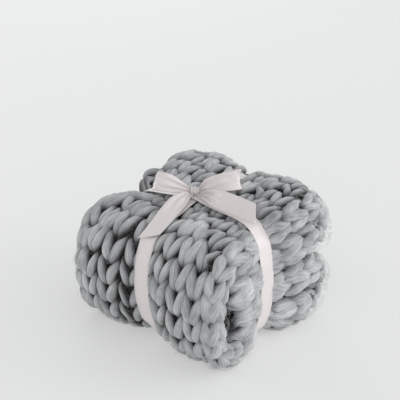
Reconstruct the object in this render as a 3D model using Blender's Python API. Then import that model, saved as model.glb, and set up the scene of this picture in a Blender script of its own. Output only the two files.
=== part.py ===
"""Chunky knit blanket, folded into a square bundle and tied with a ribbon bow."""
import math

import bpy
import bmesh
from mathutils import Matrix, Vector

for old in list(bpy.data.objects):
    bpy.data.objects.remove(old, do_unlink=True)

# Cloth sizes, in metres
COLUMN = 0.0394          # width of one column of stitches
COLUMNS = 8              # columns on a flat face of the folded cloth
FOLD_COLUMNS = 2         # columns that turn round the lengthwise fold
LAYER = 0.058            # thickness of the cloth folded double
SLIT = 0.003             # space between its two halves
PITCH = 0.061            # one thick layer to the next
EDGE = (LAYER - SLIT) / 4                    # radius of an open edge
HALF_X = (COLUMNS * COLUMN + EDGE + LAYER / 2) / 2
FOLD_X = HALF_X - LAYER / 2                  # centre of the lengthwise fold
TURN_Y = 0.1125                              # centre of the two small turns
TURN_R = (PITCH + LAYER) / 2                 # their outer radius
BIG_Y = -0.067                               # centre of the big turn
BIG_REACH = 0.105                            # how far the big turn bulges
INNER_END = -0.097                           # where the two inner layers end
HEIGHT = 3 * PITCH + LAYER

# Stretches of the folded cloth in order, each seen on its outer face
# name, rows, shape, y from or centre, y to or reach, z, way the face looks
STRETCHES = (
    ("inner upper", 5, "flat", INNER_END, TURN_Y, 2 * PITCH, -1),
    ("upper turn", 4, "turn", TURN_Y, TURN_R, 2.5 * PITCH + LAYER / 2, TURN_R),
    ("top", 5, "flat", TURN_Y, BIG_Y, HEIGHT, 1),
    ("front turn", 8, "turn", BIG_Y, -BIG_REACH, HEIGHT / 2, HEIGHT / 2),
    ("bottom", 4, "flat", BIG_Y, TURN_Y, 0.0, -1),
    ("lower turn", 4, "turn", TURN_Y, TURN_R, 0.5 * PITCH + LAYER / 2, TURN_R),
    ("inner lower", 5, "flat", TURN_Y, INNER_END, PITCH + LAYER, 1),
)
ROWS = sum(s[1] for s in STRETCHES)
SQUARE = {"upper turn": 2.0, "front turn": 2.35, "lower turn": 2.0}
CURVE_STEPS = 96

# How the ribbon draws the bundle in
TIE_LEAN = 0.013         # lean of the ribbon over the front turn, from top to bottom
TIE_Y = -0.010           # where the other ribbon runs in y
DRAW_NARROW = 0.042      # flat-bottomed crease under the ribbon
DRAW_WIDE = 0.088        # wide swell of the lobes beside it
DRAW_SIDE = 0.040        # depth at the sides
DRAW_TOP = 0.022         # depth on the top
DRAW_UNDER = 0.016       # lift of the underside
SINK = 0.0080            # stitches pressed flat where it rests
SETTLE = 0.004           # how far the whole bundle settles
ROUND = 5.0              # roundness of the corners in plan, higher is squarer
ENDS_IN = 0.024          # how far the outer layers' ends draw in past the middle ones
RIM_DROP = 0.016         # how far the top falls at its rim
LOBE_BLEND = 0.06        # how softly one lobe passes into the next
SHIFT = (0.0057, -0.0051, 0.0)               # puts the whole box over the origin

# The four corner lobes
# side in x, side in y, push in x, push in y, rise, lift of the middle layers
LOBES = (
    (-1, -1, -0.004, 0.020, -0.006, 0.00),
    (1, -1, 0.010, 0.022, -0.004, 0.00),
    (1, 1, 0.006, -0.002, 0.016, 0.08),
    (-1, 1, 0.016, 0.036, 0.002, 0.04),
)

# Raised stitches
RELIEF = ((0.007, 0.003), (0.000, 0.003), (0.008, 0.004), (0.000, 0.003))
LEAN = (-0.22, 0.0, 0.22, 0.0)
EDGE_RELIEF = (0.003, -0.002)                # in x at a row and a half row
EDGE_TURN = (60, 120)    # points round an open edge, in degrees
END_ROUNDING = (0.80, 0.96)                  # share of the thickness at the first and last rows

# Ribbon
RIBBON = 0.032
RIBBON_THICK = 0.001
RIBBON_CLEAR = 0.0008
BAND_STEP = 0.02
SHARP = 0.35             # a ribbon corner sharper than this gets two points
THIN = 0.0002
GATHER = 0.56            # the bands are drawn narrower under the knot by this share
GATHER_REACH = 0.040
STRIP_STEPS = 3
CUT_LEFT = 0.011         # slant of the tails' cut ends
CUT_RIGHT = 0.008
KNOT_SIDES = 12
BOW_TURN = math.radians(41.5)                # the bow faces this way round
BOW_AT = (-0.0153, -0.0055, 0.2297)
MM = 0.001

# Sections of the knot: right, half depth, half height, in millimetres
KNOT = (
    (-8.5, 3.5, 3.5),
    (-6.5, 6.5, 6.2),
    (-2.5, 8.0, 7.2),
    (2.5, 8.0, 7.2),
    (6.5, 6.5, 6.2),
    (8.5, 3.5, 3.5),
)

# Runs of ribbon from the knot, in millimetres
# right, toward the viewer, up, width, then the way the width points
LOOP_LEFT = (
    (-9.2, 2.0, 3.2, 9.0, 0.0, -0.49, 0.87),
    (-23.0, 7.0, 11.0, 19.0, 0.0, -0.49, 0.87),
    (-42.0, 9.5, 18.5, 30.0, 0.15, -0.47, 0.85),
    (-58.0, 7.0, 21.0, 32.0, 0.30, -0.46, 0.83),
    (-67.0, 1.0, 20.0, 32.0, 0.30, -0.46, 0.83),
    (-64.5, -6.0, 15.5, 32.0, 0.30, -0.46, 0.83),
    (-49.0, -8.5, 11.0, 31.0, 0.15, -0.47, 0.85),
    (-31.0, -8.0, 6.0, 24.0, 0.0, -0.49, 0.87),
    (-10.0, -4.0, 0.5, 9.0, 0.0, -0.49, 0.87),
)
LOOP_RIGHT = (
    (9.2, 2.0, 3.2, 9.0, 0.0, -0.49, 0.87),
    (18.0, 8.0, 9.5, 25.0, 0.0, -0.49, 0.87),
    (31.0, 9.5, 15.0, 30.0, 0.0, -0.49, 0.87),
    (46.0, 9.5, 20.0, 31.0, 0.0, -0.49, 0.87),
    (63.0, 7.5, 22.0, 32.0, -0.03, -0.49, 0.87),
    (74.5, 1.0, 21.5, 32.0, -0.03, -0.49, 0.87),
    (71.0, -7.0, 20.0, 32.0, -0.03, -0.49, 0.87),
    (53.0, -9.5, 14.5, 32.0, 0.0, -0.49, 0.87),
    (33.0, -9.0, 8.0, 24.0, 0.0, -0.49, 0.87),
    (10.0, -4.0, 0.5, 9.0, 0.0, -0.49, 0.87),
)
TAIL_LEFT = (
    (-8.2, 9.0, -3.4, 8.0, 0.72, 0.55, -0.42),
    (-15.5, 16.0, -1.5, 20.0, 0.72, 0.60, -0.34),
    (-26.5, 31.0, -4.0, 30.0, 0.72, 0.62, -0.28),
    (-41.5, 57.0, -11.0, 32.0, 0.72, 0.63, -0.22),
    (-55.5, 81.0, -20.0, 32.0, 0.70, 0.65, -0.12),
    (-73.5, 99.0, -36.0, 32.0, 0.68, 0.66, -0.02),
)
TAIL_RIGHT = (
    (8.8, 9.2, -2.8, 8.0, 0.38, -0.45, 0.81),
    (19.0, 21.5, 2.4, 19.0, 0.38, -0.45, 0.81),
    (39.0, 48.0, 7.6, 31.0, 0.36, -0.50, 0.79),
    (69.0, 75.5, 8.4, 32.0, 0.33, -0.53, 0.78),
    (98.5, 97.0, 4.2, 32.0, 0.33, -0.53, 0.78),
)


def turn_table(name, reach, half):
    """Points of a turn's outer curve with the length run to each."""
    e = SQUARE[name]
    rows, run, last = [], 0.0, None
    for k in range(CURVE_STEPS + 1):
        t = math.pi * k / CURVE_STEPS
        y = abs(math.sin(t)) ** (2 / e) * reach
        z = math.copysign(abs(math.cos(t)) ** (2 / e), math.cos(t)) * half
        if last:
            run += math.dist(last, (y, z))
        last = (y, z)
        rows.append((run, y, z))
    return rows


TURNS = {s[0]: turn_table(s[0], s[4], s[6]) for s in STRETCHES if s[2] == "turn"}


def fold_path(row):
    """Outer face of the folded cloth at a row: y, z and the way it looks."""
    row = min(max(row, 0.0), float(ROWS))
    for name, rows, shape, ya, yb, zc, way in STRETCHES:
        if row <= rows or name == STRETCHES[-1][0]:
            break
        row -= rows
    f = min(row / rows, 1.0)
    if shape == "flat":
        return ya + (yb - ya) * f, zc, 0.0, float(way)
    table = TURNS[name]
    if name != "front turn":
        f = 1.0 - f
    want = f * table[-1][0]
    k = min(int(f * CURVE_STEPS), CURVE_STEPS - 1)
    while k > 0 and table[k][0] > want:
        k -= 1
    while k < CURVE_STEPS - 1 and table[k + 1][0] < want:
        k += 1
    (ra, pa, qa), (rb, pb, qb) = table[k], table[k + 1]
    g = (want - ra) / (rb - ra)
    dy, dz = pa + (pb - pa) * g, qa + (qb - qa) * g
    e = SQUARE[name]
    ny = math.copysign(abs(dy / yb) ** (e - 1) / abs(yb), yb)
    nz = math.copysign(abs(dz / way) ** (e - 1) / way, dz)
    size = math.hypot(ny, nz)
    return ya + dy, zc + dz, ny / size, nz / size


def tie_x(up):
    """Where the ribbon over the front turn lies in x, leaning as it comes down."""
    return TIE_LEAN * (1 - 2 * up)


def draw(v):
    """How strongly a ribbon at v = 0 draws the cloth in."""
    return 0.5 * math.exp(-(v / DRAW_NARROW) ** 4) + 0.5 * math.exp(-(v / DRAW_WIDE) ** 2)


def pressed(x, y, z):
    """A point of the loose bundle after it is tied and stands on the floor."""
    up = z / HEIGHT
    gx, gy = draw(x - tie_x(up)), draw(y - TIE_Y)
    a, b = abs(x) / HALF_X, abs(y) / (TURN_Y + TURN_R)
    r = max((a ** ROUND + b ** ROUND) ** (1 / ROUND), 1e-6)
    near = max(a, b) / r
    both = 1 - (1 - gx) * (1 - gy)
    rise = mid = 0.0
    px, py = x * near, y * near
    for sx, sy, dx, dy, dz, dm in LOBES:
        w = (1 + math.tanh(sx * x / LOBE_BLEND)) * (1 + math.tanh(sy * y / LOBE_BLEND)) / 4
        px += sx * dx * w * a
        py += sy * dy * w * b
        rise += dz * w
        mid += dm * w
    px -= math.copysign((DRAW_SIDE * gy + ENDS_IN * abs(2 * up - 1) ** 3) * a * a, x)
    py -= math.copysign(DRAW_SIDE * gx * b * b, y)
    top = HEIGHT + rise - SETTLE - DRAW_TOP * both - RIM_DROP * (a ** 4 + b ** 4)
    low = DRAW_UNDER * both ** 2
    pz = max(low + (up + 4 * mid * up * (1 - up)) * (top - low) - SINK * (1 - up), 0.0)
    return Vector((px, py, pz))


def section():
    """Outline of the doubled cloth: x, n and the place in a stitch where it is raised."""
    left = -HALF_X + EDGE
    mid = (LAYER + SLIT) / 4
    pts = []
    for k in range(COLUMNS * 4):
        pts.append((left + COLUMN * k / 4, LAYER / 2, k % 4))
    for k in range(FOLD_COLUMNS * 4 + 1):
        t = math.pi * k / (FOLD_COLUMNS * 4)
        pts.append((FOLD_X + LAYER / 2 * math.sin(t), LAYER / 2 * math.cos(t), k % 4))
    for k in range(COLUMNS - 1, -1, -1):
        pts.append((left + COLUMN * k, -LAYER / 2, None))
    for t in EDGE_TURN:
        t = math.radians(t)
        pts.append((left - EDGE * math.sin(t), -mid - EDGE * math.cos(t), None))
    for k in range(COLUMNS + 1):
        pts.append((left + COLUMN * k, -SLIT / 2, None))
    pts.append((FOLD_X + SLIT, 0.0, None))
    for k in range(COLUMNS, -1, -1):
        pts.append((left + COLUMN * k, SLIT / 2, None))
    for t in reversed(EDGE_TURN):
        t = math.radians(t)
        pts.append((left - EDGE * math.sin(t), mid + EDGE * math.cos(t), None))
    return pts


def cloth_point(row, x, n):
    y, z, ny, nz = fold_path(row)
    d = LAYER / 2 - n
    return pressed(x, y - ny * d, z - nz * d)


def finish_mesh(name, bm, material):
    bmesh.ops.triangulate(bm, faces=bm.faces)
    bmesh.ops.recalc_face_normals(bm, faces=bm.faces)
    mesh = bpy.data.meshes.new(name)
    bm.to_mesh(mesh)
    bm.free()
    obj = bpy.data.objects.new(name, mesh)
    bpy.context.collection.objects.link(obj)
    mesh.materials.append(material)
    return obj


def make_material(name, colour, roughness):
    mat = bpy.data.materials.new(name)
    mat.use_nodes = True
    bsdf = mat.node_tree.nodes["Principled BSDF"]
    bsdf.inputs["Base Color"].default_value = (*colour, 1.0)
    bsdf.inputs["Roughness"].default_value = roughness
    bsdf.inputs["Metallic"].default_value = 0.0
    return mat


WOOL = make_material("grey_wool", (0.36, 0.365, 0.375), 0.95)
SATIN = make_material("blush_satin", (0.76, 0.69, 0.68), 0.45)


def build_blanket():
    """One closed solid: the doubled cloth swept along its folds, stitches raised."""
    bm = bmesh.new()
    outline = section()
    steps = ROWS * 2
    rings = []
    for i in range(steps + 1):
        row = i / 2
        end = min(i, steps - i)
        shrink = END_ROUNDING[end] if end < len(END_ROUNDING) else 1.0
        ring = []
        for x, n, stitch in outline:
            if x < -HALF_X + EDGE / 2:
                x += EDGE_RELIEF[i % 2]
            r, depth = row, 0.0
            if stitch is not None:
                depth = RELIEF[stitch][i % 2 == 0]
                r += LEAN[stitch] if 0 < i < steps else 0.0
            size = math.hypot(max(x - FOLD_X, 0.0), n)
            n_in = n * (1 - depth / size) if stitch is not None else n
            x_in = x - (x - FOLD_X) * depth / size if x > FOLD_X and stitch is not None else x
            ring.append(bm.verts.new(cloth_point(r, x_in, n_in * shrink)))
        rings.append(ring)
    for a, b in zip(rings, rings[1:]):
        join(bm, a, b)
    bm.faces.new(rings[0])
    bm.faces.new(list(reversed(rings[-1])))
    return finish_mesh("blanket", bm, WOOL)


def hull(points):
    """Convex outline of flat points, anticlockwise."""
    pts = sorted(set(points))

    def half(seq):
        out = []
        for p in seq:
            while len(out) > 1:
                (ax, ay), (bx, by) = out[-2], out[-1]
                if (bx - ax) * (p[1] - ay) - (by - ay) * (p[0] - ax) > 0:
                    break
                out.pop()
            out.append(p)
        return out[:-1]

    return half(pts) + half(reversed(pts))


def outward(p, q):
    """Way out of an anticlockwise outline along its side from p to q."""
    size = math.dist(p, q)
    return (q[1] - p[1]) / size, (p[0] - q[0]) / size


def thinned(rim):
    """An outline without the points that hardly bend it."""
    keep = []
    for i, p in enumerate(rim):
        a = keep[-1] if keep else rim[i - 1]
        q = rim[(i + 1) % len(rim)]
        c, d = outward(a, q)
        if (p[0] - a[0]) * c + (p[1] - a[1]) * d > THIN:
            keep.append(p)
    return keep


def build_band(name, axis, solids):
    """Ribbon pulled tight round the solids in the plane where axis is 0."""
    other = 1 - axis

    def middle(z):
        return TIE_Y if axis else tie_x(z / HEIGHT)

    def reach(across, z):
        if z < HEIGHT / 2:
            return RIBBON / 2
        away = across - (tie_x(1.0) if axis else TIE_Y)
        return RIBBON / 2 * (1 - GATHER * math.exp(-(away / GATHER_REACH) ** 2))

    half = RIBBON / 2 + RIBBON_CLEAR
    flat = []
    for solid in solids:
        points = [v.co for v in solid.data.vertices]
        off = [p[axis] - middle(p[2]) for p in points]
        for edge in solid.data.edges:
            i, k = edge.vertices
            if min(off[i], off[k]) > half or max(off[i], off[k]) < -half:
                continue
            for side in (half, -half):
                t = (side - off[i]) / (off[k] - off[i]) if off[i] != off[k] else 0.0
                p = points[i].lerp(points[k], min(max(t, 0.0), 1.0))
                flat.append((p[other], p[2]))
    line = []
    rim = thinned(hull(flat))
    for i, p in enumerate(rim):
        q = rim[(i + 1) % len(rim)]
        before, after = outward(rim[i - 1], p), outward(p, q)
        if math.dist(before, after) > SHARP:
            line += [(*before, *p), (*after, *p)]
        else:
            c, d = before[0] + after[0], before[1] + after[1]
            line.append((c / math.hypot(c, d), d / math.hypot(c, d), *p))
        parts = max(1, round(math.dist(p, q) / BAND_STEP))
        for k in range(1, parts):
            f = k / parts
            line.append((*after, p[0] + (q[0] - p[0]) * f, p[1] + (q[1] - p[1]) * f))
    bm = bmesh.new()
    rings = []
    for c, d, y, z in line:
        ring = []
        for out, side in ((0, -1), (0, 1), (1, 1), (1, -1)):
            far = RIBBON_CLEAR + out * RIBBON_THICK
            co = [0.0, 0.0, z + d * far]
            co[other] = y + c * far
            co[axis] = middle(z) + side * reach(y, z)
            ring.append(bm.verts.new(co))
        rings.append(ring)
    for k, a in enumerate(rings):
        join(bm, a, rings[(k + 1) % len(rings)])
    return finish_mesh(name, bm, SATIN)


def join(bm, a, b):
    """Faces between two closed rings of points."""
    for j in range(len(a)):
        k = (j + 1) % len(a)
        bm.faces.new((a[j], a[k], b[k], b[j]))


def smooth_rows(rows, steps):
    """Rows of a table read as one smooth run, with steps between each two."""
    out = []
    for i in range(len(rows) - 1):
        p0, p1 = rows[max(i - 1, 0)], rows[i]
        p2, p3 = rows[i + 1], rows[min(i + 2, len(rows) - 1)]
        for k in range(steps):
            t = k / steps
            out.append([
                0.5 * (2 * b + (c - a) * t + (2 * a - 5 * b + 4 * c - d) * t * t
                       + (3 * b - a - 3 * c + d) * t ** 3)
                for a, b, c, d in zip(p0, p1, p2, p3)
            ])
    out.append(list(rows[-1]))
    return out


def bow_space(r, f, z):
    """Millimetres right, toward the viewer and up from the knot, as a place."""
    c, s = math.cos(BOW_TURN), math.sin(BOW_TURN)
    return Vector(BOW_AT) + Vector((r * c + f * s, r * s - f * c, z)) * MM


def build_strip(name, rows, cut):
    """A run of ribbon along a table of places, widths and width directions."""
    run = smooth_rows(rows, STRIP_STEPS)
    bm = bmesh.new()
    rings = []
    zero = bow_space(0, 0, 0)
    for i, (r, f, z, wide, wr, wf, wz) in enumerate(run):
        p = bow_space(r, f, z)
        ahead = bow_space(*run[min(i + 1, len(run) - 1)][:3])
        behind = bow_space(*run[max(i - 1, 0)][:3])
        along = (ahead - behind).normalized()
        across = bow_space(wr, wf, wz) - zero
        across = (across - along * across.dot(along)).normalized()
        face = along.cross(across)
        slant = along * cut if i == len(run) - 1 else along * 0.0
        half = across * wide * MM / 2
        thick = face * RIBBON_THICK / 2
        rings.append([
            bm.verts.new(p - half + slant - thick),
            bm.verts.new(p + half - slant - thick),
            bm.verts.new(p + half - slant + thick),
            bm.verts.new(p - half + slant + thick),
        ])
    for a, b in zip(rings, rings[1:]):
        join(bm, a, b)
    bm.faces.new(rings[0])
    bm.faces.new(rings[-1])
    return finish_mesh(name, bm, SATIN)


def build_knot():
    bm = bmesh.new()
    rings = []
    for r, half_f, half_z in KNOT:
        rings.append([
            bm.verts.new(bow_space(
                r, half_f * math.cos(math.tau * k / KNOT_SIDES),
                half_z * math.sin(math.tau * k / KNOT_SIDES)))
            for k in range(KNOT_SIDES)
        ])
    for a, b in zip(rings, rings[1:]):
        join(bm, a, b)
    bm.faces.new(rings[0])
    bm.faces.new(rings[-1])
    return finish_mesh("bow_knot", bm, SATIN)


blanket = build_blanket()
band_front = build_band("band_front", 0, (blanket,))
band_side = build_band("band_side", 1, (blanket, band_front))
build_knot()
build_strip("bow_loop_left", LOOP_LEFT, 0.0)
build_strip("bow_loop_right", LOOP_RIGHT, 0.0)
build_strip("bow_tail_left", TAIL_LEFT, CUT_LEFT)
build_strip("bow_tail_right", TAIL_RIGHT, CUT_RIGHT)
for obj in bpy.data.objects:
    obj.data.transform(Matrix.Translation(SHIFT))
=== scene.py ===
import math
import random

import bpy
import bmesh
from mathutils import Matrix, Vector
from mathutils.noise import noise


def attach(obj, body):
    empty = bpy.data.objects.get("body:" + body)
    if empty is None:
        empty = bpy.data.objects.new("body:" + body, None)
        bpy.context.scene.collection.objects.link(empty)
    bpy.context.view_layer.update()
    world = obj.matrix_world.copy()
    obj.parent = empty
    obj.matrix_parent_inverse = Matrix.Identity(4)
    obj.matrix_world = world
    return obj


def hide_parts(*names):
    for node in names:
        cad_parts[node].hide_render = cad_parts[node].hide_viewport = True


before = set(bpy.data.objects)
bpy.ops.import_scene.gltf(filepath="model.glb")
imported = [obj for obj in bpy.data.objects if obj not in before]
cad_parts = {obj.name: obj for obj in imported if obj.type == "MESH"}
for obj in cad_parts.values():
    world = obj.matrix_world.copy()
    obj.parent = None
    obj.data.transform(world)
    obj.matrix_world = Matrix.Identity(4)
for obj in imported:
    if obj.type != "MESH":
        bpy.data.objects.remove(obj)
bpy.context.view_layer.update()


# Camera.
# A long lens at standing height, turned to the corner between the front and the folded side.
# It is aimed above the bundle, which sits low in the picture.
VIEW_TURN = math.radians(41.8)
VIEW_RISE = math.radians(28.25)
VIEW_FAR = 1.91
VIEW_AT = Vector((0.0, 0.0, 0.11))
AIM_UP = 0.0923
AIM_LEFT = 0.0059
SENSOR = 36.0
LENS = 99.1

view_back = Vector((
    math.sin(VIEW_TURN) * math.cos(VIEW_RISE),
    -math.cos(VIEW_TURN) * math.cos(VIEW_RISE),
    math.sin(VIEW_RISE),
))
view_right = Vector((math.cos(VIEW_TURN), math.sin(VIEW_TURN), 0.0))
view_up = view_back.cross(view_right)
camera_data = bpy.data.cameras.new("camera")
camera_data.sensor_width = SENSOR
camera_data.lens = LENS
camera = bpy.data.objects.new("camera", camera_data)
bpy.context.collection.objects.link(camera)
camera.location = VIEW_AT + view_back * VIEW_FAR
aim = VIEW_AT + view_up * AIM_UP - view_right * AIM_LEFT - camera.location
camera.rotation_euler = aim.to_track_quat("-Z", "Y").to_euler()
bpy.context.scene.camera = camera
bpy.context.scene.view_settings.view_transform = "Standard"


# Studio floor and light.
# A pale floor, which glows faintly, under an even sky that is brightest from the right. Soft
# square lamps stand to the right and left of the bundle, in front of it and behind it.
FLOOR_REACH = 7.0
FLOOR_SIDES = 96
FLOOR_COLOUR = (0.40, 0.402, 0.398, 1.0)
FLOOR_GLOW = 0.385
SKY_COLOUR = (0.97, 0.985, 1.0, 1.0)
SKY_BRIGHT = (0.90, 0.25, 0.30)
SKY_FROM = -0.6
SKY_TO = 0.95
SKY_LEAST = 0.36
SKY_MOST = 1.12

floor_mesh = bpy.data.meshes.new("studio_floor")
bm = bmesh.new()
bmesh.ops.create_circle(bm, cap_ends=True, radius=FLOOR_REACH, segments=FLOOR_SIDES)
bm.to_mesh(floor_mesh)
bm.free()
floor = bpy.data.objects.new("studio_floor", floor_mesh)
bpy.context.collection.objects.link(floor)
floor_paint = bpy.data.materials.new("floor_paint")
floor_paint.use_nodes = True
paint = floor_paint.node_tree.nodes["Principled BSDF"]
paint.inputs["Base Color"].default_value = FLOOR_COLOUR
paint.inputs["Roughness"].default_value = 0.9
paint.inputs["Emission Color"].default_value = (1.0, 1.0, 1.0, 1.0)
paint.inputs["Emission Strength"].default_value = FLOOR_GLOW
floor_mesh.materials.append(floor_paint)

world = bpy.data.worlds.new("studio_sky")
bpy.context.scene.world = world
world.use_nodes = True
sky_nodes, sky_links = world.node_tree.nodes, world.node_tree.links
sky_way = sky_nodes.new("ShaderNodeTexCoord")
sky_side = sky_nodes.new("ShaderNodeVectorMath")
sky_side.operation = "DOT_PRODUCT"
sky_side.inputs[1].default_value = SKY_BRIGHT
sky_links.new(sky_way.outputs["Generated"], sky_side.inputs[0])
sky_fall = sky_nodes.new("ShaderNodeMapRange")
sky_fall.interpolation_type = "SMOOTHSTEP"
sky_fall.inputs["From Min"].default_value = SKY_FROM
sky_fall.inputs["From Max"].default_value = SKY_TO
sky_fall.inputs["To Min"].default_value = SKY_LEAST
sky_fall.inputs["To Max"].default_value = SKY_MOST
sky_links.new(sky_side.outputs["Value"], sky_fall.inputs["Value"])
sky_light = sky_nodes["Background"]
sky_light.inputs["Color"].default_value = SKY_COLOUR
sky_links.new(sky_fall.outputs["Result"], sky_light.inputs["Strength"])


def lamp(name, right, up, toward, size, power):
    """A soft square lamp, placed as seen from the camera and aimed at the bundle."""
    data = bpy.data.lights.new(name, "AREA")
    data.size = size
    data.energy = power
    obj = bpy.data.objects.new(name, data)
    bpy.context.collection.objects.link(obj)
    level = Vector((view_back.x, view_back.y, 0.0)).normalized()
    obj.location = view_right * right + Vector((0.0, 0.0, up)) + level * toward
    obj.rotation_euler = (VIEW_AT - obj.location).to_track_quat("-Z", "Y").to_euler()


lamp("lamp_right", 3.4, 0.95, 0.0, 2.0, 42.0)
lamp("lamp_left", -2.8, 0.45, -0.7, 1.3, 33.0)
lamp("lamp_front", -0.6, 1.3, 2.0, 1.4, 5.5)
lamp("lamp_back", -0.5, 1.4, -3.2, 1.8, 16.0)


# Blanket.
# One piece of stockinette knitted by hand from unspun roving, about 24 mm thick, folded in half
# along its length and then over itself, so that four thick layers lie on each other.
COLUMN = 0.0394
COLUMNS = 8
FOLD_COLUMNS = 2
LAST = 2 * COLUMNS + FOLD_COLUMNS
LAYER = 0.058
SLIT = 0.003
PITCH = 0.061
EDGE = (LAYER - SLIT) / 4
HALF_X = (COLUMNS * COLUMN + EDGE + LAYER / 2) / 2
FOLD_X = HALF_X - LAYER / 2
TURN_Y = 0.1125
TURN_R = (PITCH + LAYER) / 2
BIG_Y = -0.067
BIG_REACH = 0.105
INNER_END = -0.097
HEIGHT = 3 * PITCH + LAYER
ROW = 0.042

# Stretches of the folded cloth in order, each seen on its outer face
# name, rows, shape, y from or centre, y to or reach, z, way the face looks
STRETCHES = (
    ("inner upper", 5, "flat", INNER_END, TURN_Y, 2 * PITCH, -1),
    ("upper turn", 4, "turn", TURN_Y, TURN_R, 2.5 * PITCH + LAYER / 2, TURN_R),
    ("top", 5, "flat", TURN_Y, BIG_Y, HEIGHT, 1),
    ("front turn", 8, "turn", BIG_Y, -BIG_REACH, HEIGHT / 2, HEIGHT / 2),
    ("bottom", 4, "flat", BIG_Y, TURN_Y, 0.0, -1),
    ("lower turn", 4, "turn", TURN_Y, TURN_R, 0.5 * PITCH + LAYER / 2, TURN_R),
    ("inner lower", 5, "flat", TURN_Y, INNER_END, PITCH + LAYER, 1),
)
ROWS = sum(s[1] for s in STRETCHES)
SQUARE = {"upper turn": 2.0, "front turn": 2.35, "lower turn": 2.0}
CURVE_STEPS = 96

# How the ribbon draws the bundle in
TIE_LEAN = 0.013
TIE_Y = -0.010
DRAW_NARROW = 0.042
DRAW_WIDE = 0.088
DRAW_SIDE = 0.040
DRAW_TOP = 0.022
DRAW_UNDER = 0.016
SINK = 0.0080
SETTLE = 0.004
ROUND = 5.0
ENDS_IN = 0.024
RIM_DROP = 0.016
SHIFT = Vector((0.0057, -0.0051, 0.0))
LOBE_BLEND = 0.06

# The four corner lobes
# side in x, side in y, push in x, push in y, rise, lift of the middle layers
LOBES = (
    (-1, -1, -0.004, 0.020, -0.006, 0.00),
    (1, -1, 0.010, 0.022, -0.004, 0.00),
    (1, 1, 0.006, -0.002, 0.016, 0.08),
    (-1, 1, 0.016, 0.036, 0.002, 0.04),
)

# One stitch of the yarn, from the lower left round the head to the lower right
# across in columns, along in rows, depth of the yarn's middle, radius, both in millimetres
STITCH = (
    (0.00, 0.66, 22.5, 4.8),
    (0.20, 0.66, 21.5, 5.0),
    (0.36, 0.55, 19.0, 5.6),
    (0.385, 0.40, 15.0, 7.2),
    (0.345, 0.20, 11.3, 8.9),
    (0.28, -0.06, 9.6, 9.5),
    (0.20, -0.32, 9.6, 8.7),
    (0.14, -0.54, 11.0, 6.7),
    (0.12, -0.70, 15.0, 5.2),
    (0.24, -0.80, 20.0, 4.8),
    (0.50, -0.82, 22.5, 4.8),
)
# The strand that turns round an open edge from one row to the next
EDGE_STRAND = (
    (0.20, 0.76, 21.0, 6.0),
    (0.02, 0.66, 16.0, 7.2),
    (-0.05, 0.42, 12.8, 9.2),
    (-0.08, 0.12, 12.0, 10.4),
    (-0.07, -0.20, 12.5, 10.0),
    (-0.03, -0.46, 14.5, 8.8),
    (0.06, -0.66, 18.5, 7.0),
    (0.20, -0.74, 21.0, 6.0),
)
# Slack edge strands that stand out as open rings
# row: the place along it, how far out and how far down
SLACK = {10: (0.13, 8.0, 19.0), 11: (0.0, 12.0, 9.0)}
# The strand of the lower edge lies further in, lower and behind
SLACK_IN = 6.0
SLACK_DOWN = 3.0
SLACK_BACK = 9.0
RING_FOOT = 0.010        # the ring leaves the knit at this depth
# Depth the loose rings take for the painted shade
RING_SHADE = 0.008
# out to the left, up, and radius, in millimetres
SLACK_RING = (
    (-14.0, 8.0, 5.6),
    (4.0, 10.0, 5.6),
    (16.0, 10.0, 5.6),
    (24.0, 5.0, 5.6),
    (26.0, -3.0, 5.6),
    (21.0, -10.0, 5.6),
    (12.0, -11.5, 5.6),
    (2.0, -9.5, 5.6),
    (-16.0, -7.0, 5.6),
)
YARN_STEPS = 2
YARN_SIDES = 16
STRAND_LUMP = 0.15       # how uneven the unspun strand is
FOLD_LUMP = 0.30         # and where it is felted round the fold
FOLD_LIGHT = 0.005       # the felted strands take less painted shade
FOLD_FAT = 1.24
FOLD_SLACK = 1.5
THINNEST = 0.86          # the least and most of a stitch's own thickness
THICKEST = 1.06
SWELL_LEAST = 0.93       # and along its strand
SWELL_MOST = 1.06
LEAN = 0.06              # how far a stitch leans across and slips along, in columns and rows
SLIP = 0.11
LEAN_WOBBLE = 0.02
SLIP_WOBBLE = 0.025
LOOK_OUT = 0.003         # a step out of the cloth, to see the way it faces
LOOK_ALONG = 0.4
FULL_ROW = 0.8           # a row this much of its size keeps its yarn's full thickness
TIGHTEST = 0.42
SLACKEST = 1.12
TIGHT_THINS = 0.75
LUMP_RUN = 0.35          # how fast the unevenness changes along and round a strand
LUMP_ROUND = 1.6
INSIDE_DEPTH = 0.0195    # a sheet of painted shade seen between the stitches
INSIDE_ACROSS = 64
INSIDE_ALONG = 140
MM = 0.001
FLOOR_GAP = 0.0003
RIBBON = 32.0 * MM
GATHER = 0.56            # the bands are drawn narrower under the knot by this share
GATHER_REACH = 0.040
PRESS_LESS = 0.0035      # the wool swells over the edges of a band this far in
PRESS_LET = 0.0125
SWELL = 0.006            # the wool stands up beside a band
SWELL_BACK = 0.012
SWELL_REACH = 0.030
SWELL_DEEP = 0.030
SWELL_LOW = -0.006       # the front lobe sags over the bands low down
SWELL_TOP = 0.8          # above this share of the height the bow keeps the wool down
SWELL_EASE = 0.03
BOW_REACH = 0.085
UNDER_BAND = 0.0014
DEEPEST = 0.024          # below this the yarn takes the full painted shade colour


def turn_table(name, reach, half):
    """Points of a turn's outer curve with the length run to each."""
    e = SQUARE[name]
    rows, run, last = [], 0.0, None
    for k in range(CURVE_STEPS + 1):
        t = math.pi * k / CURVE_STEPS
        y = abs(math.sin(t)) ** (2 / e) * reach
        z = math.copysign(abs(math.cos(t)) ** (2 / e), math.cos(t)) * half
        if last:
            run += math.dist(last, (y, z))
        last = (y, z)
        rows.append((run, y, z))
    return rows


TURNS = {s[0]: turn_table(s[0], s[4], s[6]) for s in STRETCHES if s[2] == "turn"}


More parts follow.
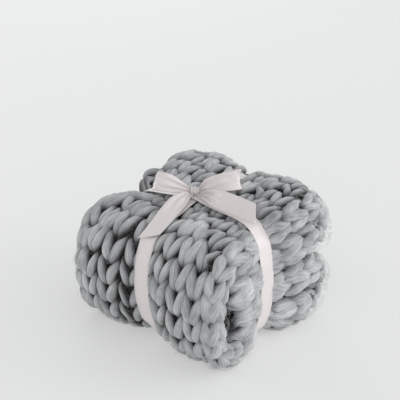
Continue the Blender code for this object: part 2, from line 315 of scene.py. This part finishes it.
def fold_path(row):
    """Outer face of the folded cloth at a row: y, z and the way it looks."""
    for name, rows, shape, ya, yb, zc, way in STRETCHES:
        if row <= rows or name == STRETCHES[-1][0]:
            break
        row -= rows
    f = row / rows
    if shape == "flat":
        return ya + (yb - ya) * f, zc, 0.0, float(way)
    table = TURNS[name]
    if name != "front turn":
        f = 1.0 - f
    want = f * table[-1][0]
    k = min(max(int(f * CURVE_STEPS), 0), CURVE_STEPS - 1)
    while k > 0 and table[k][0] > want:
        k -= 1
    while k < CURVE_STEPS - 1 and table[k + 1][0] < want:
        k += 1
    (ra, pa, qa), (rb, pb, qb) = table[k], table[k + 1]
    g = (want - ra) / (rb - ra)
    dy, dz = pa + (pb - pa) * g, qa + (qb - qa) * g
    e = SQUARE[name]
    ny = math.copysign(abs(dy / yb) ** (e - 1) / abs(yb), yb)
    nz = math.copysign(abs(dz / way) ** (e - 1) / way, dz)
    size = math.hypot(ny, nz)
    return ya + dy, zc + dz, ny / size, nz / size


def tie_x(up):
    """Where the ribbon over the front turn lies in x, leaning as it comes down."""
    return TIE_LEAN * (1 - 2 * up)


def draw(v):
    """How strongly a ribbon at v = 0 draws the cloth in."""
    return 0.5 * math.exp(-(v / DRAW_NARROW) ** 4) + 0.5 * math.exp(-(v / DRAW_WIDE) ** 2)


def pressed(x, y, z):
    """A point of the loose bundle after it is tied and stands on the floor."""
    up = z / HEIGHT
    gx, gy = draw(x - tie_x(up)), draw(y - TIE_Y)
    a, b = abs(x) / HALF_X, abs(y) / (TURN_Y + TURN_R)
    r = max((a ** ROUND + b ** ROUND) ** (1 / ROUND), 1e-6)
    near = max(a, b) / r
    both = 1 - (1 - gx) * (1 - gy)
    rise = mid = 0.0
    px, py = x * near, y * near
    for sx, sy, dx, dy, dz, dm in LOBES:
        w = (1 + math.tanh(sx * x / LOBE_BLEND)) * (1 + math.tanh(sy * y / LOBE_BLEND)) / 4
        px += sx * dx * w * a
        py += sy * dy * w * b
        rise += dz * w
        mid += dm * w
    px -= math.copysign((DRAW_SIDE * gy + ENDS_IN * abs(2 * up - 1) ** 3) * a * a, x)
    py -= math.copysign(DRAW_SIDE * gx * b * b, y)
    top = HEIGHT + rise - SETTLE - DRAW_TOP * both - RIM_DROP * (a ** 4 + b ** 4)
    low = DRAW_UNDER * both ** 2
    pz = low + (up + 4 * mid * up * (1 - up)) * (top - low) - SINK * (1 - up)
    return Vector((px, py, pz)) + SHIFT


def knit_point(across, along, depth):
    """A place in the folded knit.
    Across runs in columns from the open edge over the outer face, round the fold and back on
    the inner face. Below zero and past the last column it turns round the open edges.
    """
    half = LAYER / 2 - depth
    left = -HALF_X + EDGE
    side = 1.0
    if across < 0 or across > LAST:
        t = min((-across if across < 0 else across - LAST) * COLUMN / EDGE, math.pi)
        side = 1.0 if across < 0 else -1.0
        r = EDGE - depth
        x = left - r * math.sin(t)
        n = side * ((LAYER + SLIT) / 4 + r * math.cos(t))
    elif across <= COLUMNS:
        x, n = left + across * COLUMN, half
    elif across < COLUMNS + FOLD_COLUMNS:
        t = math.pi * (across - COLUMNS) / FOLD_COLUMNS
        x, n = FOLD_X + half * math.sin(t), half * math.cos(t)
    else:
        x, n = left + (LAST - across) * COLUMN, -half
    y, z, ny, nz = fold_path(along)
    d = LAYER / 2 - n
    return pressed(x, y - ny * d, z - nz * d)


def smooth_rows(rows, steps):
    """Rows of numbers read as one smooth run, with steps between each two."""
    out = []
    for i in range(len(rows) - 1):
        p0, p1 = rows[max(i - 1, 0)], rows[i]
        p2, p3 = rows[i + 1], rows[min(i + 2, len(rows) - 1)]
        for k in range(steps):
            t = k / steps
            out.append([
                0.5 * (2 * b + (c - a) * t + (2 * a - 5 * b + 4 * c - d) * t * t
                       + (3 * b - a - 3 * c + d) * t ** 3)
                for a, b, c, d in zip(p0, p1, p2, p3)
            ])
    out.append(list(rows[-1]))
    return out


def outline(name, axis):
    """Outer outline of a tight band in its own plane: start and way out of each side in turn."""
    points = sorted({(round(v.co[1 - axis], 6), round(v.co.z, 6))
                     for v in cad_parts[name].data.vertices})
    rim = []
    for run in (points, points[::-1]):
        half = []
        for p in run:
            while len(half) > 1:
                (ax, ay), (bx, by) = half[-2], half[-1]
                if (bx - ax) * (p[1] - ay) - (by - ay) * (p[0] - ax) > 1e-9:
                    break
                half.pop()
            half.append(p)
        rim += half[:-1]
    sides = []
    for i, p in enumerate(rim):
        q = rim[(i + 1) % len(rim)]
        size = math.dist(p, q)
        sides.append((*p, (q[1] - p[1]) / size, (p[0] - q[0]) / size))
    return sides


def band_middle(axis, z):
    """Where the middle of a band lies across its own plane."""
    return SHIFT[axis] + (TIE_Y if axis else tie_x(z / HEIGHT))


def past_crossing(axis, co):
    """How far a place lies along a band from where the two cross."""
    return co[1 - axis] - SHIFT[1 - axis] - (tie_x(1.0) if axis else TIE_Y)


def half_band(axis, co):
    """Half the width of a band at a place, gathered where it goes under the knot."""
    if co[2] < HEIGHT / 2:
        return RIBBON / 2
    away = past_crossing(axis, co)
    return RIBBON / 2 * (1 - GATHER * math.exp(-(away / GATHER_REACH) ** 2))


BANDS = (("band_front", 0), ("band_side", 1))
OUTLINES = {name: outline(name, axis) for name, axis in BANDS}


def held_in(co):
    """A point of the yarn after the ribbon over it has pressed it in and swelled it beside."""
    for name, axis in BANDS:
        aside = co[axis] - band_middle(axis, co.z)
        off = abs(aside) - half_band(axis, co) + PRESS_LESS
        if co.z < HEIGHT / 2 and (aside > 0) != (axis == 1):
            off += SWELL_LOW * (1 - 2 * co.z / HEIGHT)
        if off > SWELL_REACH:
            continue
        hold = 1 - min(max(off, 0) / PRESS_LET, 1.0)
        hold = hold * hold * (3 - 2 * hold)
        p, q = co[1 - axis], co.z
        most, cy, cz = max(((p - y) * c + (q - z) * d, c, d) for y, z, c, d in OUTLINES[name])
        rise = SWELL_BACK if axis == 0 and p > 0 else SWELL
        if q > SWELL_TOP * HEIGHT:
            away = abs(past_crossing(axis, co))
            rise *= min(max((away - BOW_REACH) / SWELL_EASE, 0.0), 1.0)
        rise *= math.sin(math.pi * min(max(off / SWELL_REACH, 0.0), 1.0))
        rise *= min(max(1 + most / SWELL_DEEP, 0.0), 1.0) * min(max(q / SWELL_EASE, 0.0), 1.0)
        move = rise - max(most + UNDER_BAND, 0.0) * hold
        co = co.copy()
        co[1 - axis] += cy * move
        co.z += cz * move
    return co


def laid(across, along, depth, radius):
    """A point of the yarn's middle: place, way out of the cloth, radius, depth, unevenness."""
    at = knit_point(across, along, depth)
    out = (knit_point(across, along, depth - LOOK_OUT) - at).normalized()
    ahead = knit_point(across, along + LOOK_ALONG, depth)
    behind = knit_point(across, along - LOOK_ALONG, depth)
    tight = min(max((ahead - behind).length / (FULL_ROW * ROW), TIGHTEST), SLACKEST)
    return [*at, *out, radius * tight ** TIGHT_THINS, depth, STRAND_LUMP]


def stitch_points(column, row, luck):
    """One stitch of a row, mirrored about its middle, uneven and more so round the fold."""
    points = []
    both = list(STITCH) + [(1 - s[0], *s[1:]) for s in reversed(STITCH[1:-1])]
    round_fold = COLUMNS <= column <= COLUMNS + FOLD_COLUMNS
    slack = FOLD_SLACK if round_fold else 1.0
    lean = slack * luck.uniform(-LEAN, LEAN)
    fat = luck.uniform(THINNEST, THICKEST) * (FOLD_FAT if round_fold else 1.0)
    slip = slack * luck.uniform(-SLIP, SLIP)
    for k, (across, along, depth, radius) in enumerate(both):
        loose = 0.0 if k == 0 else 1.0
        swell = fat * luck.uniform(SWELL_LEAST, SWELL_MOST)
        points.append(laid(
            column + across + loose * (lean + luck.uniform(-LEAN_WOBBLE, LEAN_WOBBLE) * slack),
            row + along + loose * (slip + luck.uniform(-SLIP_WOBBLE, SLIP_WOBBLE) * slack),
            (depth + max(swell - 1, 0) * radius) * MM,
            radius * swell * MM,
        ))
        if round_fold:
            # Round the fold the strand takes less painted shade and is more uneven
            points[-1][7:] = [points[-1][7] - FOLD_LIGHT, FOLD_LUMP]
    return points


def slack_ring(row, far, drop, back):
    """An edge strand pulled loose, standing out to the left as an open ring."""
    foot = knit_point(0.0, row, RING_FOOT) - view_right * (far * MM) - view_back * (back * MM)
    return [[*(foot - view_right * (out * MM) + Vector((0.0, 0.0, (up - drop) * MM))),
             *view_back, radius * MM, RING_SHADE, STRAND_LUMP] for out, up, radius in SLACK_RING]


def yarn(bm, points, number):
    """A soft strand round a run of points: place, way out, radius and depth in each."""
    run = smooth_rows(points, YARN_STEPS)
    shade_depth = bm.verts.layers.float["shade_depth"]
    grid = bmesh.ops.create_grid(
        bm, x_segments=len(run) - 1, y_segments=YARN_SIDES, size=0.5, calc_uvs=True)
    rings = []
    for i, p in enumerate(run):
        ahead, behind = run[min(i + 1, len(run) - 1)], run[max(i - 1, 0)]
        way = (Vector(ahead[:3]) - Vector(behind[:3])).normalized()
        out = Vector(p[3:6])
        side = way.cross(out).normalized()
        rings.append((Vector(p[:3]), side.cross(way), side, *p[6:]))
    for v in grid["verts"]:
        i = round((v.co.x + 0.5) * (len(run) - 1))
        turn = math.tau * (v.co.y + 0.5)
        at, out, side, radius, depth, lump = rings[i]
        rough = 1 + lump * noise(Vector((
            i * LUMP_RUN + number * 7, LUMP_ROUND * math.sin(turn), LUMP_ROUND * math.cos(turn))))
        co = held_in(
            at - out * (math.cos(turn) * radius * rough) + side * (math.sin(turn) * radius * rough))
        co.z = max(co.z, FLOOR_GAP)
        v.co = co
        # The yarn's depth sets how much painted shade it takes
        v[shade_depth] = (depth + radius * math.cos(turn)) / DEEPEST


def wool_finish(name, light, dark, painted_shade):
    """Matt roving: fibres drawn out along the strand, with painted shade that darkens the yarn the
    deeper it lies between the strands.
    """
    mat = bpy.data.materials.new(name)
    mat.use_nodes = True
    nodes, links = mat.node_tree.nodes, mat.node_tree.links
    bsdf = nodes["Principled BSDF"]
    bsdf.inputs["Roughness"].default_value = 0.95
    bsdf.inputs["Sheen Weight"].default_value = 0.30
    bsdf.inputs["Sheen Roughness"].default_value = 0.5
    bsdf.inputs["Specular IOR Level"].default_value = 0.15
    place = nodes.new("ShaderNodeTexCoord")

    def streaks(along, round_it, detail):
        """Fibre tones drawn out along the strand."""
        fit = nodes.new("ShaderNodeMapping")
        fit.inputs["Scale"].default_value = (along, round_it, 1.0)
        tone = nodes.new("ShaderNodeTexNoise")
        tone.inputs["Scale"].default_value = 1.0
        tone.inputs["Detail"].default_value = detail
        tone.inputs["Roughness"].default_value = 0.6
        links.new(place.outputs["UV"], fit.inputs["Vector"])
        links.new(fit.outputs["Vector"], tone.inputs["Vector"])
        return tone.outputs["Fac"]

    def blend(a, b, share):
        """Share of b mixed into a."""
        mix = nodes.new("ShaderNodeMix")
        mix.inputs["Factor"].default_value = share
        links.new(a, mix.inputs["A"])
        links.new(b, mix.inputs["B"])
        return mix.outputs["Result"]

    fibres = blend(streaks(60.0, 18.0, 2.0), streaks(160.0, 60.0, 3.0), 0.55)
    cloud = nodes.new("ShaderNodeTexNoise")
    cloud.inputs["Scale"].default_value = 30.0
    cloud.inputs["Detail"].default_value = 3.0
    links.new(place.outputs["Object"], cloud.inputs["Vector"])
    ramp = nodes.new("ShaderNodeValToRGB")
    ramp.color_ramp.elements[0].position = 0.40
    ramp.color_ramp.elements[0].color = (*dark, 1.0)
    ramp.color_ramp.elements[1].position = 0.60
    ramp.color_ramp.elements[1].color = (*light, 1.0)
    links.new(blend(fibres, cloud.outputs["Fac"], 0.35), ramp.inputs["Fac"])
    # Painted shade: the colour runs to the hollow colour as the yarn lies deeper in the cloth
    low = nodes.new("ShaderNodeAttribute")
    low.attribute_name = "shade_depth"
    fall = nodes.new("ShaderNodeMapRange")
    fall.interpolation_type = "SMOOTHSTEP"
    fall.inputs["From Min"].default_value = 0.04
    fall.inputs["From Max"].default_value = 0.56
    links.new(low.outputs["Fac"], fall.inputs["Value"])
    darker = nodes.new("ShaderNodeMix")
    darker.data_type = "RGBA"
    links.new(fall.outputs["Result"], darker.inputs["Factor"])
    links.new(ramp.outputs["Color"], darker.inputs["A"])
    darker.inputs["B"].default_value = (*painted_shade, 1.0)
    links.new(darker.outputs["Result"], bsdf.inputs["Base Color"])
    bump = nodes.new("ShaderNodeBump")
    bump.inputs["Strength"].default_value = 0.5
    bump.inputs["Distance"].default_value = 0.002
    links.new(fibres, bump.inputs["Height"])
    links.new(bump.outputs["Normal"], bsdf.inputs["Normal"])
    return mat


def piece(name, bm, mat):
    """A finished mesh object of the part."""
    for f in bm.faces:
        f.smooth = True
    mesh = bpy.data.meshes.new(name)
    bm.to_mesh(mesh)
    bm.free()
    mesh.materials.append(mat)
    obj = bpy.data.objects.new(name, mesh)
    bpy.context.collection.objects.link(obj)
    return obj


# Light fibres, dark fibres and the painted shade in the hollows between the strands
ROVING = ((0.57, 0.575, 0.582), (0.27, 0.273, 0.28), (0.026, 0.026, 0.027))
# The sheet behind the stitches: near-black painted shade in every tone
ROVING_SHADE_SHEET = ((0.06, 0.06, 0.062), (0.03, 0.03, 0.031), (0.03, 0.03, 0.031))
LUCK = 11

roving = wool_finish("grey_roving", *ROVING)
# Material of the painted shade sheet behind the stitches
shade = wool_finish("grey_roving_painted_shade", *ROVING_SHADE_SHEET)
luck = random.Random(LUCK)
row = 0
for name, rows, *_ in STRETCHES:
    bm = bmesh.new()
    bm.loops.layers.uv.new("UVMap")
    bm.verts.layers.float.new("shade_depth")
    for r in range(row, row + rows):
        mid = r + 0.5
        points = []
        for column in range(COLUMNS + FOLD_COLUMNS + 1):
            points += stitch_points(column, mid, luck)
        foot, deep_in, thin = STITCH[0][1:]
        points.append(laid(COLUMNS + FOLD_COLUMNS + 1, mid + foot, deep_in * MM, thin * MM))
        rim = [laid(a, mid + b, c * MM, d * MM) for a, b, c, d in EDGE_STRAND]
        last_rim = [laid(LAST - a, mid + b, c * MM, d * MM) for a, b, c, d in EDGE_STRAND]
        if r in SLACK:
            slide, far, drop = SLACK[r]
            rim = slack_ring(mid + slide, far, drop, 0.0)
            last_rim = slack_ring(mid + slide, far - SLACK_IN, drop + SLACK_DOWN, SLACK_BACK)
        yarn(bm, rim, r * 1.7 + 0.5)
        yarn(bm, points, r * 1.3)
        yarn(bm, stitch_points(LAST - 1, mid, luck), r * 1.1 + 0.2)
        yarn(bm, last_rim, r * 1.9 + 0.7)
    row += rows
    bmesh.ops.remove_doubles(bm, verts=bm.verts, dist=0.00001)
    bmesh.ops.recalc_face_normals(bm, faces=bm.faces)
    obj = piece("knit_" + name.replace(" ", "_"), bm, roving)
    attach(obj, "root")

# Stray fibres that stand off the unspun wool, most of them round the fold
STRAYS = 2600
STRAY_THICK = 0.10 * MM
STRAY_STEPS = 5
STRAY_ROOT = 2.0 * MM
STRAY_LONG = (0.15, 0.6)
STRAY_RISE = (1.0, 5.5)
STRAY_BEND = 1.6

bm = bmesh.new()
bm.loops.layers.uv.new("UVMap")
bm.verts.layers.float.new("shade_depth")
for number in range(STRAYS):
    across = luck.uniform(-0.3, COLUMNS + FOLD_COLUMNS) if number % 2 else luck.uniform(
        COLUMNS - 0.5, COLUMNS + FOLD_COLUMNS)
    along = luck.uniform(0.0, ROWS)
    length, rise = luck.uniform(*STRAY_LONG), luck.uniform(*STRAY_RISE) * MM
    turn, bend = luck.uniform(0, math.tau), luck.uniform(-STRAY_BEND, STRAY_BEND)
    run = []
    for k in range(STRAY_STEPS + 1):
        t = k / STRAY_STEPS
        way = turn + bend * t
        run.append(held_in(knit_point(
            across + length * t * math.cos(way),
            min(max(along + length * t * math.sin(way), 0.0), ROWS),
            STRAY_ROOT - rise * math.sin(math.pi * (0.1 + 0.7 * t)))))
    grid = bmesh.ops.create_grid(
        bm, x_segments=STRAY_STEPS, y_segments=1, size=0.5, calc_uvs=True)
    for v in grid["verts"]:
        i = round((v.co.x + 0.5) * STRAY_STEPS)
        way = (run[min(i + 1, STRAY_STEPS)] - run[max(i - 1, 0)]).normalized()
        side = way.cross(view_back).normalized()
        co = run[i] + side * (STRAY_THICK * (1 if v.co.y > 0 else -1))
        co.z = max(co.z, FLOOR_GAP)
        v.co = co
fuzz = piece("wool_strays", bm, roving)
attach(fuzz, "root")

# The wool behind the stitches as one sheet, seen in the hollows between them and coloured near
# black as painted shade
bm = bmesh.new()
bm.loops.layers.uv.new("UVMap")
grid = bmesh.ops.create_grid(
    bm, x_segments=INSIDE_ACROSS, y_segments=INSIDE_ALONG, size=0.5, calc_uvs=True)
for v in grid["verts"]:
    co = knit_point((v.co.x + 0.5) * LAST, (v.co.y + 0.5) * ROWS, INSIDE_DEPTH)
    co.z = max(co.z, FLOOR_GAP)
    v.co = co
inside = piece("blanket_shade_sheet", bm, shade)
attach(inside, "root")
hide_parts("blanket")
flat_length = sum(
    math.dist(fold_path(k / 10)[:2], fold_path((k + 1) / 10)[:2]) for k in range(ROWS * 10))


# Ribbon bands.
# Satin ribbon 32 mm wide with a firm woven edge, pulled tight round the bundle both ways.
# The two bands cross on the top, under the knot.
RIBBON_THICK = 0.5 * MM
BAND_SPACING = 4.0 * MM
BAND_ROUNDS = 3
ACROSS = 14
RIPPLE = 0.35 * MM
RIPPLE_RUN = 30
RIPPLE_ACROSS = 1.5
EDGE_IN = 0.3            # the edges lie in by this share of the ripple
SATIN_LIGHT = (0.735, 0.68, 0.672)
SATIN_DARK = (0.67, 0.612, 0.608)


def satin_finish(name, light, dark):
    """Soft satin: fine threads across the ribbon, a firm edge and a low sheen."""
    mat = bpy.data.materials.new(name)
    mat.use_nodes = True
    nodes, links = mat.node_tree.nodes, mat.node_tree.links
    bsdf = nodes["Principled BSDF"]
    bsdf.inputs["Roughness"].default_value = 0.42
    bsdf.inputs["Sheen Weight"].default_value = 0.2
    bsdf.inputs["Specular IOR Level"].default_value = 0.65
    place = nodes.new("ShaderNodeTexCoord")
    threads = nodes.new("ShaderNodeMapping")
    threads.inputs["Scale"].default_value = (420.0, 9.0, 1.0)
    grain = nodes.new("ShaderNodeTexNoise")
    grain.inputs["Scale"].default_value = 1.0
    grain.inputs["Detail"].default_value = 2.0
    links.new(place.outputs["UV"], threads.inputs["Vector"])
    links.new(threads.outputs["Vector"], grain.inputs["Vector"])
    split = nodes.new("ShaderNodeSeparateXYZ")
    links.new(place.outputs["UV"], split.inputs["Vector"])
    centre = nodes.new("ShaderNodeMath")
    centre.operation = "SUBTRACT"
    centre.inputs[1].default_value = 0.5
    links.new(split.outputs["Y"], centre.inputs[0])
    side = nodes.new("ShaderNodeMath")
    side.operation = "ABSOLUTE"
    links.new(centre.outputs["Value"], side.inputs[0])
    edge = nodes.new("ShaderNodeMapRange")
    edge.inputs["From Min"].default_value = 0.455
    edge.inputs["From Max"].default_value = 0.475
    links.new(side.outputs["Value"], edge.inputs["Value"])
    tone = nodes.new("ShaderNodeMix")
    tone.data_type = "RGBA"
    links.new(grain.outputs["Fac"], tone.inputs["Factor"])
    tone.inputs["A"].default_value = (*dark, 1.0)
    tone.inputs["B"].default_value = (*light, 1.0)
    links.new(tone.outputs["Result"], bsdf.inputs["Base Color"])
    height = nodes.new("ShaderNodeMath")
    height.operation = "ADD"
    links.new(grain.outputs["Fac"], height.inputs[0])
    links.new(edge.outputs["Result"], height.inputs[1])
    bump = nodes.new("ShaderNodeBump")
    bump.inputs["Strength"].default_value = 0.25
    bump.inputs["Distance"].default_value = 0.0003
    links.new(height.outputs["Value"], bump.inputs["Height"])
    links.new(bump.outputs["Normal"], bsdf.inputs["Normal"])
    return mat


satin = satin_finish("blush_satin_cloth", SATIN_LIGHT, SATIN_DARK)


def rounded(points, times):
    """A closed run of points with its corners cut softer."""
    for _ in range(times):
        out = []
        for i, p in enumerate(points):
            q = points[(i + 1) % len(points)]
            out.append(p.lerp(q, 0.25))
            out.append(p.lerp(q, 0.75))
        points = out
    return points


def spaced(points, gap):
    """A closed run of points set out evenly."""
    runs = [0.0]
    for i, p in enumerate(points):
        runs.append(runs[-1] + (points[(i + 1) % len(points)] - p).length)
    count = round(runs[-1] / gap)
    out, k = [], 0
    for j in range(count):
        want = runs[-1] * j / count
        while runs[k + 1] < want:
            k += 1
        f = (want - runs[k]) / max(runs[k + 1] - runs[k], 1e-9)
        out.append(points[k].lerp(points[(k + 1) % len(points)], f))
    return out, runs[-1]


def cloth_thickness(obj, thick):
    """Gives a ribbon its thickness, half to each side."""
    solid = obj.modifiers.new("thickness", "SOLIDIFY")
    solid.thickness = thick
    solid.offset = 0.0


for name, axis in BANDS:
    line = [Vector((y - c * RIBBON_THICK / 2, z - d * RIBBON_THICK / 2, 0.0))
            for y, z, c, d in OUTLINES[name]]
    line, length = spaced(rounded(line, BAND_ROUNDS), BAND_SPACING)
    bm = bmesh.new()
    bm.loops.layers.uv.new("UVMap")
    grid = bmesh.ops.create_grid(
        bm, x_segments=len(line), y_segments=ACROSS, size=0.5, calc_uvs=True)
    for v in grid["verts"]:
        i = round((v.co.x + 0.5) * len(line)) % len(line)
        t = v.co.y * 2
        p, before, after = line[i], line[i - 1], line[(i + 1) % len(line)]
        way = (after - before).normalized()
        rough = noise(Vector((p.x * RIPPLE_RUN, p.y * RIPPLE_RUN, t * RIPPLE_ACROSS + axis * 7)))
        wave = RIPPLE * rough * abs(t) - EDGE_IN * RIPPLE * t * t
        co = Vector((0.0, 0.0, p.y - way.x * wave))
        co[1 - axis] = p.x + way.y * wave
        co[axis] = band_middle(axis, p.y) + t * half_band(axis, (p.x, p.x, p.y))
        v.co = co
    bmesh.ops.remove_doubles(bm, verts=bm.verts, dist=0.00002)
    bmesh.ops.recalc_face_normals(bm, faces=bm.faces)
    band = piece(name + "_ribbon", bm, satin)
    cloth_thickness(band, RIBBON_THICK)
    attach(band, "root")
    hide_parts(name)


# Bow.
# Two loops and two free ends of the same ribbon, gathered into folds where they enter the knot.
# Each free end is cut at a slant and lies over the band below it.
BOW_TURN = math.radians(41.5)
BOW_AT = Vector((-0.0153, -0.0055, 0.2297)) + SHIFT
STRIP_STEPS = 8
PLEATS = 2.5
CREASE = 1.1
CREASE_RUN = 0.11
CREASE_ACROSS = 1.7
FULL_WIDE = RIBBON / MM
CUT_LEFT = 11.0 * MM
CUT_RIGHT = 8.0 * MM

# Runs of ribbon from the knot, in millimetres
# right, toward the viewer, up, width, then the way the width points
LOOP_LEFT = (
    (-9.2, 2.0, 3.2, 9.0, 0.0, -0.49, 0.87),
    (-23.0, 7.0, 11.0, 19.0, 0.0, -0.49, 0.87),
    (-42.0, 9.5, 18.5, 30.0, 0.15, -0.47, 0.85),
    (-58.0, 7.0, 21.0, 32.0, 0.30, -0.46, 0.83),
    (-67.0, 1.0, 20.0, 32.0, 0.30, -0.46, 0.83),
    (-64.5, -6.0, 15.5, 32.0, 0.30, -0.46, 0.83),
    (-49.0, -8.5, 11.0, 31.0, 0.15, -0.47, 0.85),
    (-31.0, -8.0, 6.0, 24.0, 0.0, -0.49, 0.87),
    (-10.0, -4.0, 0.5, 9.0, 0.0, -0.49, 0.87),
)
LOOP_RIGHT = (
    (9.2, 2.0, 3.2, 9.0, 0.0, -0.49, 0.87),
    (18.0, 8.0, 9.5, 25.0, 0.0, -0.49, 0.87),
    (31.0, 9.5, 15.0, 30.0, 0.0, -0.49, 0.87),
    (46.0, 9.5, 20.0, 31.0, 0.0, -0.49, 0.87),
    (63.0, 7.5, 22.0, 32.0, -0.03, -0.49, 0.87),
    (74.5, 1.0, 21.5, 32.0, -0.03, -0.49, 0.87),
    (71.0, -7.0, 20.0, 32.0, -0.03, -0.49, 0.87),
    (53.0, -9.5, 14.5, 32.0, 0.0, -0.49, 0.87),
    (33.0, -9.0, 8.0, 24.0, 0.0, -0.49, 0.87),
    (10.0, -4.0, 0.5, 9.0, 0.0, -0.49, 0.87),
)
TAIL_LEFT = (
    (-8.2, 9.0, -3.4, 8.0, 0.72, 0.55, -0.42),
    (-15.5, 16.0, -1.5, 20.0, 0.72, 0.60, -0.34),
    (-26.5, 31.0, -4.0, 30.0, 0.72, 0.62, -0.28),
    (-41.5, 57.0, -11.0, 32.0, 0.72, 0.63, -0.22),
    (-55.5, 81.0, -20.0, 32.0, 0.70, 0.65, -0.12),
    (-73.5, 99.0, -36.0, 32.0, 0.68, 0.66, -0.02),
)
TAIL_RIGHT = (
    (8.8, 9.2, -2.8, 8.0, 0.38, -0.45, 0.81),
    (19.0, 21.5, 2.4, 19.0, 0.38, -0.45, 0.81),
    (39.0, 48.0, 7.6, 31.0, 0.36, -0.50, 0.79),
    (69.0, 75.5, 8.4, 32.0, 0.33, -0.53, 0.78),
    (98.5, 97.0, 4.2, 32.0, 0.33, -0.53, 0.78),
)
# name, rows, slant of the cut, cup of the width in millimetres, start of the folds
STRIPS = (
    ("bow_loop_left", LOOP_LEFT, 0.0, 1.2, 0.4),
    ("bow_loop_right", LOOP_RIGHT, 0.0, 1.6, 1.3),
    ("bow_tail_left", TAIL_LEFT, CUT_LEFT, 0.9, 0.9),
    ("bow_tail_right", TAIL_RIGHT, CUT_RIGHT, 1.0, 2.2),
)


def bow_way(r, f, z):
    """Right, toward the viewer and up of the knot, as a direction."""
    c, s = math.cos(BOW_TURN), math.sin(BOW_TURN)
    return Vector((r * c + f * s, r * s - f * c, z))


for name, rows, cut, cup, start in STRIPS:
    run = smooth_rows(rows, STRIP_STEPS)
    last = len(run) - 1
    frames = []
    for i, (r, f, z, wide, wr, wf, wz) in enumerate(run):
        at = BOW_AT + bow_way(r, f, z) * MM
        way = bow_way(*[a - b for a, b in zip(
            run[min(i + 1, last)][:3], run[max(i - 1, 0)][:3])]).normalized()
        across = bow_way(wr, wf, wz)
        across = (across - way * across.dot(way)).normalized()
        spare = max(FULL_WIDE / wide - 1, 0.0) ** 0.5
        fold = wide * 2 * spare / (math.pi * PLEATS) / 2
        frames.append((at, way, across, way.cross(across), wide, fold))
    bm = bmesh.new()
    bm.loops.layers.uv.new("UVMap")
    grid = bmesh.ops.create_grid(
        bm, x_segments=last, y_segments=2 * ACROSS, size=0.5, calc_uvs=True)
    for v in grid["verts"]:
        i = round((v.co.x + 0.5) * last)
        t = v.co.y * 2
        at, way, across, face, wide, fold = frames[i]
        slant = way * cut * t * max(1 - (last - i) / STRIP_STEPS, 0) ** 2 if cut else Vector()
        share = wide / FULL_WIDE
        out = fold * math.sin(PLEATS * math.pi * t + start) + cup * t * t * share
        out += CREASE * noise(Vector((i * CREASE_RUN, t * CREASE_ACROSS, start * 5))) * share
        v.co = at + (across * wide * t / 2 + face * out) * MM - slant
    bmesh.ops.recalc_face_normals(bm, faces=bm.faces)
    strip = piece(name + "_ribbon", bm, satin)
    cloth_thickness(strip, RIBBON_THICK)
    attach(strip, "root")
    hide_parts(name)
    length = sum((b[0] - a[0]).length for a, b in zip(frames, frames[1:]))

# The knot: one more turn of the ribbon, crushed into folds round the others
# along the knot, half its size toward the viewer and upward, in millimetres
KNOT = (
    (-10.0, 3.8, 4.0),
    (-7.5, 7.2, 7.4),
    (-2.5, 9.0, 8.6),
    (2.5, 9.0, 8.4),
    (7.0, 7.2, 7.0),
    (9.5, 3.8, 4.0),
)
KNOT_STEPS = 9
KNOT_SIDES = 56
KNOT_FOLDS = 3.4
KNOT_FOLD = 0.21
KNOT_TWIST = 2.3
KNOT_START = 0.6

run = smooth_rows(KNOT, KNOT_STEPS)
bm = bmesh.new()
bm.loops.layers.uv.new("UVMap")
grid = bmesh.ops.create_grid(
    bm, x_segments=len(run) - 1, y_segments=KNOT_SIDES, size=0.5, calc_uvs=True)
for v in grid["verts"]:
    i = round((v.co.x + 0.5) * (len(run) - 1))
    turn = math.tau * (v.co.y + 0.5)
    r, half_f, half_z = run[i]
    place = r / KNOT[-1][0]
    twist = KNOT_TWIST * math.sin(turn + KNOT_START)
    crush = KNOT_FOLD * math.sin(KNOT_FOLDS * math.pi * place + twist)
    big = 1 - KNOT_FOLD + crush
    v.co = BOW_AT + bow_way(
        r, half_f * math.cos(turn) * big, half_z * math.sin(turn) * big) * MM
bmesh.ops.remove_doubles(bm, verts=bm.verts, dist=0.00002)
bmesh.ops.holes_fill(bm, edges=bm.edges, sides=0)
bmesh.ops.recalc_face_normals(bm, faces=bm.faces)
knot = piece("bow_knot_ribbon", bm, satin)
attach(knot, "root")
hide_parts("bow_knot")
